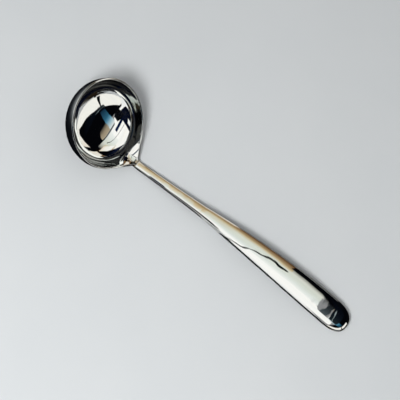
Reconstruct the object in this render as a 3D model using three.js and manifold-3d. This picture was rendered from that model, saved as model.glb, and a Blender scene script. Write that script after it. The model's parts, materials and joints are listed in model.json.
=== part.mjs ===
// A sauce ladle of polished stainless steel, lying on a table on its bowl and the end of its handle.
// The bowl is drawn from sheet, with a lip on the handle's side. A forged stem laps under the lip, where it
// is brazed. Its tang is cemented into a hollow handle, which two pressed shells and a brazed seam make up.
// Millimetres. Each piece is drawn with the bowl's rim level, the rim's centre at the origin and the handle
// towards +X, and the finished ladle is then laid down. The middle plane is XZ.
import * as THREE from 'three';
import { mergeVertices } from 'three/addons/utils/BufferGeometryUtils.js';
import Module from 'manifold-3d';

const wasm = await Module();
wasm.setup();
const { clamp, degToRad, lerp } = THREE.MathUtils;

// Bowl
const BOWL_DIAMETER = 62;
const BOWL_DEPTH = 22.2;
const BOWL_SQUARENESS = 2.35; // of its side view: 2 is an ellipse, more is flatter below and steeper above
const BOWL_WALL = 1.3;
const RIM_EDGE_BREAK = 0.25; // both edges of the rim are taken off by this much
const LIP_LENGTH = 7; // from the bowl's round out to the stem
const LIP_RISE = 0.3; // end of the lip above the rim
const LIP_FLARE_HEIGHT = 7; // height of wall that is drawn out into the lip
const LIP_FLARE_POWER = 3; // the larger, the closer to the rim the wall bends out
const LIP_TAPER = degToRad(51); // in plan, between the lip's straight side and the middle plane
const NECK_FILLET_RADIUS = 3; // in plan, from the lip's side into the stem's

// Stem, from the lip to the handle's mouth, with its foot and its tang
const STEM_LENGTH = 56;
const STEM_SLOPE = degToRad(42.6); // above the rim's plane
const NECK_STEP = 0.8; // stem's upper face below the lip's, where they meet
const STEM_NECK_WIDTH = 5.7;
const STEM_NECK_THICKNESS = 3.2;
const STEM_SQUARENESS = 3.6; // 2 is an ellipse, more is squarer
const FOOT_WIDTH = 5;
const FOOT_DROP = 6.5; // below the rim
const FOOT_THICKNESS = 1.6;
const FOOT_OVERLAP = 1.1; // stem's full section before the end of the lip
const TANG_LENGTH = 40;
const TANG_TIP_WIDTH = 4;
const TANG_TIP_THICKNESS = 1.4;

// Handle, from its mouth to its tip
const MOUTH_WIDTH = 8.1;
const MOUTH_THICKNESS = 4.6;
const HANDLE_LENGTH = 128;
const HANDLE_WIDTH = 21;
const HANDLE_THICKNESS = 9.6;
const HANDLE_SQUARENESS = 2.3;
const HANDLE_TIP_SLOPE = degToRad(28); // above the rim's plane
const HANDLE_END_LENGTH = 16.1; // rounded stretch that closes the handle
const HANDLE_END_SQUARENESS = 2.5;
const SHELL_WALL = 0.8;

// Joints
const NECK_BRAZE = 0.3;
const MOUTH_SOLDER = 0.4;
const SEAM_BRAZE = 0.4;
const CEMENT_LENGTH = 60;
const CEMENT_WALL = 0.4; // least thickness round the tang
const JOINT_GAP = 0.1; // between touching pieces

// Facets
const LIP_END_FACETS = 3;
const LIP_SIDE_FACETS = 8;
const BOWL_ROUND_FACETS = 25;
const BOWL_CUP_RINGS = 9;
const BOWL_FLARE_RINGS = 6;
const SECTION_SIDES = 28;
const SHELL_ARC_FACETS = 16;
const STEM_STEPS = 10;
const TANG_STEPS = 4;
const HANDLE_BODY_STEPS = 14;
const HANDLE_END_STEPS = 8;
const CEMENT_STEPS = 6;
const WELD_DISTANCE = 1e-4;

// Skins a row of matching closed loops into one closed body. The two ends are zipped shut across their
// loops, or with ring set the last loop joins the first. A loop may shrink to a point or fold to a line.
function loft(loops, ring = false) {
  const count = loops[0].length;
  const last = loops.length - 1;
  const index = [];
  const quad = (a, b, c, d) => index.push(a, b, c, a, c, d);
  for (let row = 0; row < (ring ? loops.length : last); row += 1) {
    const near = row * count;
    const far = ((row + 1) % loops.length) * count;
    for (let k = 0; k < count; k += 1) {
      const next = (k + 1) % count;
      quad(near + k, near + next, far + next, far + k);
    }
  }
  for (let k = 0; !ring && k < count / 2 - 1; k += 1) {
    const start = [k, count - 1 - k, count - 2 - k, k + 1];
    const end = start.map((corner) => corner + last * count).reverse();
    quad(...start);
    quad(...end);
  }
  const geometry = new THREE.BufferGeometry();
  geometry.setAttribute('position', new THREE.Float32BufferAttribute(
    loops.flat().flatMap((point) => point.toArray()), 3));
  geometry.setIndex(index);
  return facingOut(welded(geometry));
}

// Merges equal points and drops the faces that this leaves with no area.
function welded(geometry) {
  const merged = mergeVertices(geometry, WELD_DISTANCE);
  const faces = [];
  const corners = merged.index.array;
  for (let k = 0; k < corners.length; k += 3) {
    const face = [corners[k], corners[k + 1], corners[k + 2]];
    if (new Set(face).size === 3) faces.push(...face);
  }
  merged.setIndex(faces);
  return merged;
}

// Turns a closed body's faces round if it encloses a negative volume.
function facingOut(geometry) {
  const position = geometry.attributes.position;
  const faces = geometry.index.array;
  const corner = (k) => new THREE.Vector3().fromBufferAttribute(position, faces[k]);
  let volume = 0;
  for (let k = 0; k < faces.length; k += 3) volume += corner(k).dot(corner(k + 1).cross(corner(k + 2)));
  if (volume < 0) geometry.setIndex(Array.from(faces).reverse());
  return geometry;
}

function toSolid(geometry) {
  return new wasm.Manifold(new wasm.Mesh({
    numProp: 3,
    vertProperties: Float32Array.from(geometry.attributes.position.array),
    triVerts: Uint32Array.from(geometry.index.array),
  }));
}

function fromSolid(solid) {
  const mesh = solid.getMesh();
  const geometry = new THREE.BufferGeometry();
  geometry.setAttribute('position', new THREE.BufferAttribute(mesh.vertProperties, 3));
  geometry.setIndex(new THREE.BufferAttribute(mesh.triVerts, 1));
  return geometry;
}

// Plan of bowl and neck, a drop: the lip's straight sides touch the bowl's circle, and a fillet leads each
// of them into the stem's side. Grown or shrunk by an offset, circle and fillets keep their centres.
const BOWL_RADIUS = BOWL_DIAMETER / 2;
const LIP_REACH = BOWL_RADIUS + LIP_LENGTH;
const FILLET_Y = STEM_NECK_WIDTH / 2 + NECK_FILLET_RADIUS;
const FILLET_X = (BOWL_RADIUS + NECK_FILLET_RADIUS - FILLET_Y * Math.cos(LIP_TAPER)) / Math.sin(LIP_TAPER);

function neckHalfWidth(x, offset) {
  const lipSide = (BOWL_RADIUS + offset - x * Math.sin(LIP_TAPER)) / Math.cos(LIP_TAPER);
  const stemSide = STEM_NECK_WIDTH / 2 + offset;
  const radius = NECK_FILLET_RADIUS - offset;
  const before = FILLET_X - x;
  const inFillet = before > 0 && before < radius * Math.sin(LIP_TAPER);
  return inFillet ? FILLET_Y - Math.sqrt(radius ** 2 - before ** 2) : Math.max(lipSide, stemSide);
}

// Points of the plan outline, from the middle of the lip's end once round the bowl.
function planOutline(offset, end) {
  const radius = BOWL_RADIUS + offset;
  const corner = neckHalfWidth(end, offset);
  const half = [];
  for (let k = 0; k < LIP_END_FACETS; k += 1) {
    half.push(new THREE.Vector2(end, corner * k / LIP_END_FACETS));
  }
  for (let k = 0; k < LIP_SIDE_FACETS; k += 1) {
    const x = lerp(end, radius * Math.sin(LIP_TAPER), k / LIP_SIDE_FACETS);
    half.push(new THREE.Vector2(x, neckHalfWidth(x, offset)));
  }
  for (let k = 0; k <= BOWL_ROUND_FACETS; k += 1) {
    const angle = lerp(Math.PI / 2 - LIP_TAPER, Math.PI, k / BOWL_ROUND_FACETS);
    half.push(new THREE.Vector2(radius * Math.cos(angle), radius * Math.sin(angle)));
  }
  const other = half.slice(1, -1).reverse().map((point) => new THREE.Vector2(point.x, -point.y));
  return [...half, ...other];
}

// Rings of a bowl surface from its pole up to the rim: half a superellipse turned about its axis, whose wall
// near the rim is drawn out to the plan outline and moved up by lift towards the end of the lip.
function bowlRings(offset, end, lift) {
  const radius = BOWL_RADIUS + offset;
  const depth = BOWL_DEPTH + offset;
  const outline = planOutline(offset, end);
  const power = 2 / BOWL_SQUARENESS;
  const tiltAt = (drop) => Math.acos((drop / depth) ** (1 / power));
  const flareStart = tiltAt(LIP_FLARE_HEIGHT);
  const tilts = [];
  for (let k = 0; k < BOWL_CUP_RINGS; k += 1) tilts.push(flareStart * k / BOWL_CUP_RINGS);
  for (let k = 0; k <= BOWL_FLARE_RINGS; k += 1) {
    tilts.push(tiltAt(LIP_FLARE_HEIGHT * (1 - k / BOWL_FLARE_RINGS)));
  }
  return tilts.map((tilt) => {
    const height = -depth * Math.cos(tilt) ** power;
    const round = radius * Math.sin(tilt) ** power;
    const flare = clamp(1 + height / LIP_FLARE_HEIGHT, 0, 1) ** LIP_FLARE_POWER;
    return outline.map((point) => {
      const drawn = Math.max(0, point.length() - radius);
      const plan = point.clone().setLength(1).multiplyScalar(round + drawn * flare);
      return new THREE.Vector3(plan.x, plan.y, height + lift * flare * Math.min(1, drawn / (end - radius)));
    });
  });
}

// A ring moved by a distance towards the matching points of another ring.
function movedTowards(ring, target, distance) {
  return ring.map((point, k) => target[k].clone().sub(point).setLength(distance).add(point));
}

function bowl() {
  const inside = bowlRings(-BOWL_WALL, LIP_REACH, LIP_RISE);
  const outside = bowlRings(0, LIP_REACH, LIP_RISE - BOWL_WALL);
  const innerEdge = inside.pop();
  const outerEdge = outside.pop();
  const rim = [
    movedTowards(innerEdge, inside.at(-1), RIM_EDGE_BREAK),
    movedTowards(innerEdge, outerEdge, RIM_EDGE_BREAK),
    movedTowards(outerEdge, innerEdge, RIM_EDGE_BREAK),
    movedTowards(outerEdge, outside.at(-1), RIM_EDGE_BREAK),
  ];
  return loft([...inside, ...rim, ...outside.reverse()]);
}

// The bowl's outside, grown by a distance, filled and raised over the rim. It cuts what laps on the bowl.
function bowlPlug(grown) {
  const rings = bowlRings(grown, LIP_REACH + grown, LIP_RISE - BOWL_WALL - grown);
  const brim = rings.at(-1).map((point) => point.clone().setZ(BOWL_DEPTH));
  const top = brim.map(() => new THREE.Vector3(0, 0, BOWL_DEPTH));
  return toSolid(loft([...rings, brim, top]));
}

// Tongue outline of the stem's foot, seen along the stem and drawn through the neck.
const STEM_TOP = LIP_RISE - NECK_STEP;

function footTongue() {
  const corner = neckHalfWidth(LIP_REACH, 0);
  const round = FOOT_WIDTH / 2;
  const outline = new THREE.Shape();
  outline.moveTo(corner, STEM_TOP);
  outline.lineTo(-corner, STEM_TOP);
  outline.lineTo(-round, round - FOOT_DROP);
  outline.absarc(0, round - FOOT_DROP, round, Math.PI, 2 * Math.PI, false);
  outline.closePath();
  const geometry = new THREE.ExtrudeGeometry(outline, {
    depth: LIP_REACH, bevelEnabled: false, curveSegments: SECTION_SIDES / 2,
  });
  geometry.deleteAttribute('normal');
  geometry.deleteAttribute('uv');
  const towardsHandle = new THREE.Matrix4().makeBasis(
    new THREE.Vector3(0, 1, 0), new THREE.Vector3(0, 0, 1), new THREE.Vector3(1, 0, 0));
  geometry.applyMatrix4(towardsHandle);
  geometry.translate(BOWL_RADIUS / 2, 0, 0);
  return toSolid(facingOut(welded(geometry)));
}

// Spine in the middle plane: straight along the stem from 0 at the end of the lip, then one arc along the
// handle. At 0 the stem's upper face meets the lip, a step below the lip's upper face.
const HANDLE_BELLY = STEM_LENGTH + HANDLE_LENGTH - HANDLE_END_LENGTH;
const HANDLE_BEND = (HANDLE_TIP_SLOPE - STEM_SLOPE) / HANDLE_LENGTH;

function spinePoint(along, across, up) {
  const straight = Math.min(along, STEM_LENGTH);
  const bent = along - straight;
  const halfTurn = HANDLE_BEND * bent / 2;
  const chord = halfTurn === 0 ? bent : bent * Math.sin(halfTurn) / halfTurn;
  const slope = STEM_SLOPE + 2 * halfTurn;
  const neckX = LIP_REACH + Math.sin(STEM_SLOPE) * STEM_NECK_THICKNESS / 2;
  const neckZ = STEM_TOP - Math.cos(STEM_SLOPE) * STEM_NECK_THICKNESS / 2;
  return new THREE.Vector3(
    neckX + straight * Math.cos(STEM_SLOPE) + chord * Math.cos(STEM_SLOPE + halfTurn) - up * Math.sin(slope),
    across,
    neckZ + straight * Math.sin(STEM_SLOPE) + chord * Math.sin(STEM_SLOPE + halfTurn) + up * Math.cos(slope));
}

// Point of a section's superellipse at an angle from its widest side, for a size at its place on the spine.
function sectionPoint(size, angle) {
  const power = 2 / size.squareness;
  const signedPower = (value) => Math.sign(value) * Math.abs(value) ** power;
  const across = size.halfWidth * signedPower(Math.cos(angle));
  const up = size.halfThickness * signedPower(Math.sin(angle));
  return spinePoint(size.along, across, up);
}

function section(size) {
  return Array.from({ length: SECTION_SIDES }, (_, k) => sectionPoint(size, 2 * Math.PI * k / SECTION_SIDES));
}

function thickened(size, by) {
  return { ...size, halfWidth: size.halfWidth + by, halfThickness: size.halfThickness + by };
}

function stemSize(along) {
  const widening = clamp(along / STEM_LENGTH, 0, 1) ** 2;
  const flare = neckHalfWidth(LIP_REACH + along, 0) - STEM_NECK_WIDTH / 2;
  return {
    along,
    halfWidth: lerp(STEM_NECK_WIDTH, MOUTH_WIDTH, widening) / 2 + flare,
    halfThickness: lerp(STEM_NECK_THICKNESS, MOUTH_THICKNESS, widening) / 2,
    squareness: STEM_SQUARENESS,
  };
}

// Handle's section at a place, inset from the outside. It swells to the belly and closes round the tip.
function handleSize(along, inset) {
  const swell = Math.sin(clamp((along - STEM_LENGTH) / (HANDLE_BELLY - STEM_LENGTH), 0, 1) * Math.PI / 2);
  const past = clamp((along - HANDLE_BELLY) / (HANDLE_END_LENGTH - inset), 0, 1);
  const closing = (1 - past ** HANDLE_END_SQUARENESS) ** (1 / HANDLE_END_SQUARENESS);
  return {
    along,
    halfWidth: (lerp(MOUTH_WIDTH, HANDLE_WIDTH, swell) / 2 - inset) * closing,
    halfThickness: (lerp(MOUTH_THICKNESS, HANDLE_THICKNESS, swell) / 2 - inset) * closing,
    squareness: lerp(STEM_SQUARENESS, HANDLE_SQUARENESS, swell),
  };
}

// Tang's section: it leaves room for the cement at the mouth and tapers to its tip.
const SHOULDER = STEM_LENGTH - MOUTH_SOLDER / 2 - JOINT_GAP;
const SHELL_START = STEM_LENGTH + MOUTH_SOLDER / 2 + JOINT_GAP;

function tangSize(along) {
  const root = thickened(handleSize(STEM_LENGTH, SHELL_WALL), -2 * JOINT_GAP - CEMENT_WALL);
  const taper = (along - SHOULDER) / TANG_LENGTH;
  return {
    along,
    halfWidth: lerp(root.halfWidth, TANG_TIP_WIDTH / 2, taper),
    halfThickness: lerp(root.halfThickness, TANG_TIP_THICKNESS / 2, taper),
    squareness: STEM_SQUARENESS,
  };
}

// Sections from one place to another, both included.
function sizesAlong(from, to, steps, sizeAt) {
  return Array.from({ length: steps + 1 }, (_, k) => sizeAt(lerp(from, to, k / steps)));
}

function stemBar() {
  const shank = sizesAlong(-FOOT_OVERLAP, SHOULDER, STEM_STEPS, stemSize);
  const tang = sizesAlong(SHOULDER, SHOULDER + TANG_LENGTH, TANG_STEPS, tangSize);
  return toSolid(loft([...shank, ...tang].map(section)));
}

// The lap at the neck: lip, braze and foot lie on each other, a joint gap apart.
const BRAZE_BACK = JOINT_GAP + NECK_BRAZE;
const LAP_FACE = BRAZE_BACK + JOINT_GAP;

function neckBraze() {
  return fromSolid(footTongue().intersect(bowlPlug(BRAZE_BACK)).subtract(bowlPlug(JOINT_GAP)));
}

function stem() {
  const foot = footTongue().intersect(bowlPlug(LAP_FACE + FOOT_THICKNESS));
  return fromSolid(stemBar().add(foot).subtract(bowlPlug(LAP_FACE)));
}

function mouthSolder() {
  const sizeAt = (along, size) => ({ ...size, along });
  const outside = handleSize(STEM_LENGTH, 0);
  const inside = thickened(tangSize(STEM_LENGTH), JOINT_GAP);
  const front = STEM_LENGTH - MOUTH_SOLDER / 2;
  const back = STEM_LENGTH + MOUTH_SOLDER / 2;
  const loops = [sizeAt(front, outside), sizeAt(back, outside), sizeAt(back, inside), sizeAt(front, inside)];
  return loft(loops.map(section), true);
}

// Handle's sections from the mouth to where its half thickness has shrunk to least.
function handleSizes(inset, least) {
  const body = sizesAlong(SHELL_START, HANDLE_BELLY, HANDLE_BODY_STEPS, (along) => handleSize(along, inset));
  const closing = least / (HANDLE_THICKNESS / 2 - inset);
  const turn = Math.acos(closing ** (HANDLE_END_SQUARENESS / 2));
  const end = [];
  for (let k = 1; k <= HANDLE_END_STEPS; k += 1) {
    const past = Math.sin(turn * k / HANDLE_END_STEPS) ** (2 / HANDLE_END_SQUARENESS);
    end.push(handleSize(HANDLE_BELLY + past * (HANDLE_END_LENGTH - inset), inset));
  }
  return [...body, ...end];
}

// One pressed half of the handle, side 1 above the seam and -1 below it: C-shaped sections that shrink to
// the tip.
function handleShell(side) {
  const edge = SEAM_BRAZE / 2 + JOINT_GAP;
  const arc = (size) => {
    const start = Math.asin(Math.min(1, edge / size.halfThickness) ** (size.squareness / 2));
    return Array.from({ length: SHELL_ARC_FACETS + 1 }, (_, k) => (
      sectionPoint(size, side * lerp(start, Math.PI - start, k / SHELL_ARC_FACETS))));
  };
  const outside = handleSizes(0, edge).map(arc);
  const inside = handleSizes(SHELL_WALL, edge).map(arc);
  return loft(outside.map((points, k) => [...points, ...inside[k].reverse()]));
}

// Ribbon between the shells, from the mouth round the tip and back.
function seamBraze() {
  const outside = handleSizes(0, 0);
  const inside = handleSizes(SHELL_WALL, 0);
  const bar = (side) => outside.map((size, k) => [[size, 1], [size, -1], [inside[k], -1], [inside[k], 1]].map(
    ([at, up]) => spinePoint(at.along, side * at.halfWidth, up * SEAM_BRAZE / 2)));
  return loft([...bar(1), ...bar(-1).reverse().slice(1)]);
}

// Plug that fills the front of the handle, with the pocket that the tang sits in.
function tangCement() {
  const inset = SHELL_WALL + JOINT_GAP;
  const filling = sizesAlong(SHELL_START + CEMENT_LENGTH, SHELL_START, CEMENT_STEPS,
    (along) => handleSize(along, inset));
  const pocket = sizesAlong(SHELL_START, SHOULDER + TANG_LENGTH + JOINT_GAP, TANG_STEPS,
    (along) => thickened(tangSize(along), JOINT_GAP));
  return loft([...filling, ...pocket].map(section));
}

const polishedSteel = { color: 0xd3d6d8, roughness: 0.06, metalness: 1 };
const silverBraze = { color: 0xcfc8b4, roughness: 0.25, metalness: 1 };
const greyCement = { color: 0x8f8b84, roughness: 0.9, metalness: 0 };

function piece(name, geometry, finish) {
  geometry.computeVertexNormals();
  const mesh = new THREE.Mesh(geometry, new THREE.MeshStandardMaterial(finish));
  mesh.name = name;
  return mesh;
}

const bowlPiece = piece('bowl', bowl(), polishedSteel);
const bottomShell = piece('handle_bottom_shell', handleShell(-1), polishedSteel);
const ladle = new THREE.Group();
ladle.add(
  bowlPiece,
  piece('neck_braze', neckBraze(), silverBraze),
  piece('stem', stem(), polishedSteel),
  piece('mouth_solder', mouthSolder(), silverBraze),
  piece('handle_top_shell', handleShell(1), polishedSteel),
  bottomShell,
  piece('seam_braze', seamBraze(), silverBraze),
  piece('tang_cement', tangCement(), greyCement));

// Height of a piece's lowest point with the ladle turned about Y.
function lowestPoint(mesh, turn) {
  const position = mesh.geometry.attributes.position;
  let lowest = Infinity;
  for (let k = 0; k < position.count; k += 1) {
    lowest = Math.min(lowest, position.getZ(k) * Math.cos(turn) - position.getX(k) * Math.sin(turn));
  }
  return lowest;
}

// The turn at which bowl and handle touch the table together, found by halving.
function restingTurn() {
  let low = 0;
  let high = Math.PI / 2;
  for (let k = 0; k < 50; k += 1) {
    const middle = (low + high) / 2;
    if (lowestPoint(bottomShell, middle) > lowestPoint(bowlPiece, middle)) low = middle;
    else high = middle;
  }
  return low;
}

// Laid down, with the origin under the middle of the ladle's box.
ladle.rotation.y = restingTurn();
const box = new THREE.Box3().setFromObject(ladle, true);
const middle = box.getCenter(new THREE.Vector3());
ladle.position.set(-middle.x, -middle.y, -box.min.z);
const part = new THREE.Group();
part.add(ladle);

export default part;
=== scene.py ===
"""A sauce ladle of polished stainless steel, lying on a pale table on its bowl and its handle's end.

The pieces are worked out in millimetres with the bowl's rim level, the rim's centre at the origin and the
handle towards +X. Each is then laid down in metres where the record's bowl_rim mount says the rim is.
Patterns, panels and the camera are in metres from the start.
"""
import json

import bmesh
import bpy
import numpy as np
from mathutils import Matrix, Vector


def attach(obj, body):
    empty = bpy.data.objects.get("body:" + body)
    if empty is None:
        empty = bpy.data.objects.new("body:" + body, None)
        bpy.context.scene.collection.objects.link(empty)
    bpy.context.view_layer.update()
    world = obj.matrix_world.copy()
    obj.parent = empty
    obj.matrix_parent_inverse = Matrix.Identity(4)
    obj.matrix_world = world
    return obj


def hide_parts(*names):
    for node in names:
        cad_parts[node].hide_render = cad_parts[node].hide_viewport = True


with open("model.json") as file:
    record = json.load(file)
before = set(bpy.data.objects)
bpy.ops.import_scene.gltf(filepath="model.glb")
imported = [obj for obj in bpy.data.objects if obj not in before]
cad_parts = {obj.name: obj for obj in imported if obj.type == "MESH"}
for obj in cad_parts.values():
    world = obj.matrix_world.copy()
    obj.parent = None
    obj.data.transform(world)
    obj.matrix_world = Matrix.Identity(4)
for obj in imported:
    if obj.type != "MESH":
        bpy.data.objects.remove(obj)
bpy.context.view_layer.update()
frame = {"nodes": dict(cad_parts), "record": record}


# Bowl
# A disc of stainless sheet is drawn into a deep cup, and its wall on the handle's side into a pointed lip.
# The rim is ground level, its two edges are rounded over, and the whole bowl is buffed to a mirror.
CAD_BOWL_RADIUS = 31.0
BOWL_RADIUS = CAD_BOWL_RADIUS - 0.015  # a hair inside the CAD bowl
BOWL_DEPTH = 22.1
BOWL_SQUARENESS = 2.35
BOWL_WALL = 1.3
RIM_ROUNDING = 0.42
RIM_STEPS = 7
RIM_BAND = 0.6  # last band of wall under the rim, tall enough for the rounding
LIP_REACH = 38.0
LIP_RISE = 0.3
LIP_NOSE = 1.0
NOSE_POWER = 0.8
FLARE_HEIGHT = 7.0
FLARE_POWER = 3.0
LIP_TAPER = np.radians(51)
NECK_HALF_WIDTH = 2.85
NECK_FILLET = 3.0
FILLET_Y = NECK_HALF_WIDTH + NECK_FILLET
FILLET_X = (BOWL_RADIUS + NECK_FILLET - FILLET_Y * np.cos(LIP_TAPER)) / np.sin(LIP_TAPER)
NOSE_POINTS, SIDE_POINTS, ARC_POINTS = 10, 40, 100
CUP_RINGS, FLARE_RINGS = 55, 26


def neck_half_width(x, offset):
    """Half width of the plan at x: the lip's straight side, tangent to the bowl's circle, then a fillet of
    given radius and centre, then the stem's side. The whole outline may be offset."""
    lip_side = (BOWL_RADIUS + offset - x * np.sin(LIP_TAPER)) / np.cos(LIP_TAPER)
    radius = NECK_FILLET - offset
    before = FILLET_X - x
    fillet = FILLET_Y - np.sqrt(np.maximum(radius**2 - before**2, 0))
    in_fillet = (before > 0) & (before < radius * np.sin(LIP_TAPER))
    return np.where(in_fillet, fillet, np.maximum(lip_side, NECK_HALF_WIDTH + offset))


def plan_outline(offset):
    """Drop-shaped plan of bowl and lip: a superelliptic nose, the tapering sides, then the circle, mirrored
    in the middle plane."""
    radius = BOWL_RADIUS + offset
    shoulder = LIP_REACH - LIP_NOSE
    turn = np.linspace(0, np.pi / 2, NOSE_POINTS, endpoint=False)
    nose = np.stack([
        shoulder + LIP_NOSE * np.cos(turn) ** NOSE_POWER,
        neck_half_width(shoulder, offset) * np.sin(turn) ** NOSE_POWER], -1)
    x = np.linspace(shoulder, radius * np.sin(LIP_TAPER), SIDE_POINTS, endpoint=False)
    side = np.stack([x, neck_half_width(x, offset)], -1)
    angle = np.linspace(np.pi / 2 - LIP_TAPER, np.pi, ARC_POINTS)
    arc = radius * np.stack([np.cos(angle), np.sin(angle)], -1)
    half = np.concatenate([nose, side, arc])
    return np.concatenate([half, half[-2:0:-1] * [1, -1]])


def flare_at(height):
    """Share of the lip's draw at a height under the rim: 0 at FLARE_HEIGHT below it, then a power up to 1."""
    return np.clip(1 + height / FLARE_HEIGHT, 0, 1) ** FLARE_POWER


def wall_radius(height, offset):
    """Radius of the cup at a height under the rim: a superellipse over its radius and depth, both offset."""
    drop = np.clip(-height / (BOWL_DEPTH + offset), 0, 1)
    return (BOWL_RADIUS + offset) * (1 - drop**BOWL_SQUARENESS) ** (1 / BOWL_SQUARENESS)


def bowl_rings(offset, lift):
    """A superellipse turned about its axis, from its pole up to the rim. Near the rim each point moves out
    along its radius by the lip's draw and up by the lift, both in the flare's share of their full measure."""
    radius = BOWL_RADIUS + offset
    depth = BOWL_DEPTH + offset
    outline = plan_outline(offset)
    reach = np.linalg.norm(outline, axis=1)
    drawn = np.maximum(0, reach - radius)
    steepest = np.arccos((FLARE_HEIGHT / depth) ** (BOWL_SQUARENESS / 2))
    tilt = np.linspace(0, steepest, CUP_RINGS, endpoint=False)
    cup = -depth * np.cos(tilt) ** (2 / BOWL_SQUARENESS)
    flared = np.concatenate([np.linspace(-FLARE_HEIGHT, -RIM_BAND, FLARE_RINGS), [0]])
    height = np.concatenate([cup, flared])[:, None]
    flare = flare_at(height)
    out = wall_radius(height, offset) + drawn * flare
    plan = (outline / reach[:, None])[None] * out[..., None]
    up = height + lift * flare * np.minimum(1, drawn / (LIP_REACH - radius))
    return np.concatenate([plan, up[..., None]], -1)


def towards(start, target, distance):
    """Points moved by a distance from start towards target."""
    way = target - start
    return start + distance * way / np.linalg.norm(way, axis=-1, keepdims=True)


def rounded_edge(before, edge, after, reach, steps):
    """Rows of a quadratic Bezier that rounds an edge over: it leaves and meets the two sides at reach."""
    first = towards(edge, before, reach)
    last = towards(edge, after, reach)
    t = np.linspace(0, 1, steps)[:, None, None]
    return (1 - t) ** 2 * first + 2 * t * (1 - t) * edge + t**2 * last


rim_mount = next(mount for mount in frame["record"]["mounts"] if mount["name"] == "bowl_rim")
RIM_NORMAL = np.array(rim_mount["axis"])
SIDEWAYS = np.array([0.0, 1.0, 0.0])
TO_HANDLE = np.cross(SIDEWAYS, RIM_NORMAL)
MOUNT_REACH = CAD_BOWL_RADIUS - BOWL_WALL / 2  # the mount lies on the middle of the ground rim
RIM_CENTRE = np.array(rim_mount["pos_m"]) + MOUNT_REACH / 1000 * TO_HANDLE


def laid_down(points):
    """From millimetres with the rim level to the frame's metres: the rim's centre, and the three axes of the
    tilted bowl times x, y and z."""
    return RIM_CENTRE + points / 1000 @ np.stack([TO_HANDLE, SIDEWAYS, RIM_NORMAL])


def walked(rows):
    """Mean distance in metres from the first row to each row, as a column."""
    steps = np.linalg.norm(np.diff(rows, axis=0), axis=-1).mean(axis=1)
    return np.concatenate([[0], np.cumsum(steps)])[:, None] / 1000


def girth(around, rows):
    """Distance in metres round the rings, in even steps from 0 to the whole way around, as a row."""
    return np.linspace(0, around / 1000, rows.shape[1] + 1)[None]


MERGED_WITHIN = 1e-7
SHARP_EDGE = np.radians(40)


def skinned(name, rows, stroke, across):
    """Closed mesh over a grid of points whose rows are rings: four neighbours make a face, and rings that
    shrink to a point or fold to a line are merged. The UV map holds metres along the polishing stroke and
    across it."""
    count, around = rows.shape[:2]
    row, column = np.mgrid[0:count - 1, 0:around]
    beside = (column + 1) % around
    first = row * around
    second = first + around
    corners = [first + column, first + beside, second + beside, second + column]
    mesh = bpy.data.meshes.new(name)
    mesh.from_pydata(laid_down(rows).reshape(-1, 3), [], np.stack(corners, -1).reshape(-1, 4))
    polish = np.stack(np.broadcast_arrays(stroke, across), -1)
    cells = [polish[:-1, :-1], polish[:-1, 1:], polish[1:, 1:], polish[1:, :-1]]
    mesh.uv_layers.new(name="polish").data.foreach_set("uv", np.stack(cells, 2).ravel())
    body = bmesh.new()
    body.from_mesh(mesh)
    bmesh.ops.remove_doubles(body, verts=body.verts, dist=MERGED_WITHIN)
    bmesh.ops.recalc_face_normals(body, faces=body.faces)
    body.to_mesh(mesh)
    body.free()
    mesh.shade_smooth()
    mesh.set_sharp_from_angle(angle=SHARP_EDGE)
    piece = bpy.data.objects.new(name, mesh)
    bpy.context.scene.collection.objects.link(piece)
    return piece


inside = bowl_rings(-BOWL_WALL, LIP_RISE)
outside = bowl_rings(0, LIP_RISE - BOWL_WALL)
bowl_rows = np.concatenate([
    inside[:-1],
    rounded_edge(inside[-2], inside[-1], outside[-1], RIM_ROUNDING, RIM_STEPS),
    rounded_edge(inside[-1], outside[-1], outside[-2], RIM_ROUNDING, RIM_STEPS),
    outside[-2::-1]])
BOWL_GIRTH = 2 * np.pi * BOWL_RADIUS
bowl = skinned("drawn_bowl", bowl_rows, girth(BOWL_GIRTH, bowl_rows), walked(bowl_rows))


def linear(colour):
    """sRGB hex to linear RGBA: up to 0.04045 the value over 12.92, above that the 2.4 power curve."""
    value = np.array([int(colour[k:k + 2], 16) for k in (1, 3, 5)]) / 255
    return (*np.where(value <= 0.04045, value / 12.92, ((value + 0.055) / 1.055) ** 2.4), 1)


def add_node(material, kind, settings, inputs):
    """Adds a node, sets its properties, and sets each input or links it to the socket given."""
    node = material.node_tree.nodes.new(kind)
    for name, value in settings.items():
        setattr(node, name, value)
    for name, value in inputs.items():
        if isinstance(value, bpy.types.NodeSocket):
            material.node_tree.links.new(value, node.inputs[name])
        else:
            node.inputs[name].default_value = value
    return node


# 18/10 stainless steel, buffed to a mirror on a cotton wheel. The eye sees the room in it, wavy where the
# sheet was worked and ground by hand, with faint buffing lines along the stroke and dull spots from wiping.
BUFFING_LINE = 0.0016  # real lines are about 0.05 mm apart, drawn coarser so that they show
BUFFING_STROKE = 0.03
BUFFING_HEIGHT = 0.000004
WAVE = 0.021
WAVE_HEIGHT = 0.0005
SMEAR = 0.011
stainless = bpy.data.materials.new("mirror_polished_stainless")
stainless.use_nodes = True
stainless.node_tree.nodes.clear()
stroke_map = add_node(stainless, "ShaderNodeUVMap", {"uv_map": "polish"}, {})
stroke_size = add_node(stainless, "ShaderNodeMapping", {}, {
    "Vector": stroke_map.outputs["UV"], "Scale": (1 / BUFFING_STROKE, 1 / BUFFING_LINE, 1)})
lines = add_node(stainless, "ShaderNodeTexNoise", {"noise_dimensions": "2D"}, {
    "Vector": stroke_size.outputs["Vector"], "Scale": 1.0, "Detail": 3.0, "Roughness": 0.6})
steel_place = add_node(stainless, "ShaderNodeTexCoord", {}, {})
waves = add_node(stainless, "ShaderNodeTexNoise", {}, {
    "Vector": steel_place.outputs["Object"], "Scale": 1 / WAVE, "Detail": 1.5, "Roughness": 0.35})
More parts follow.
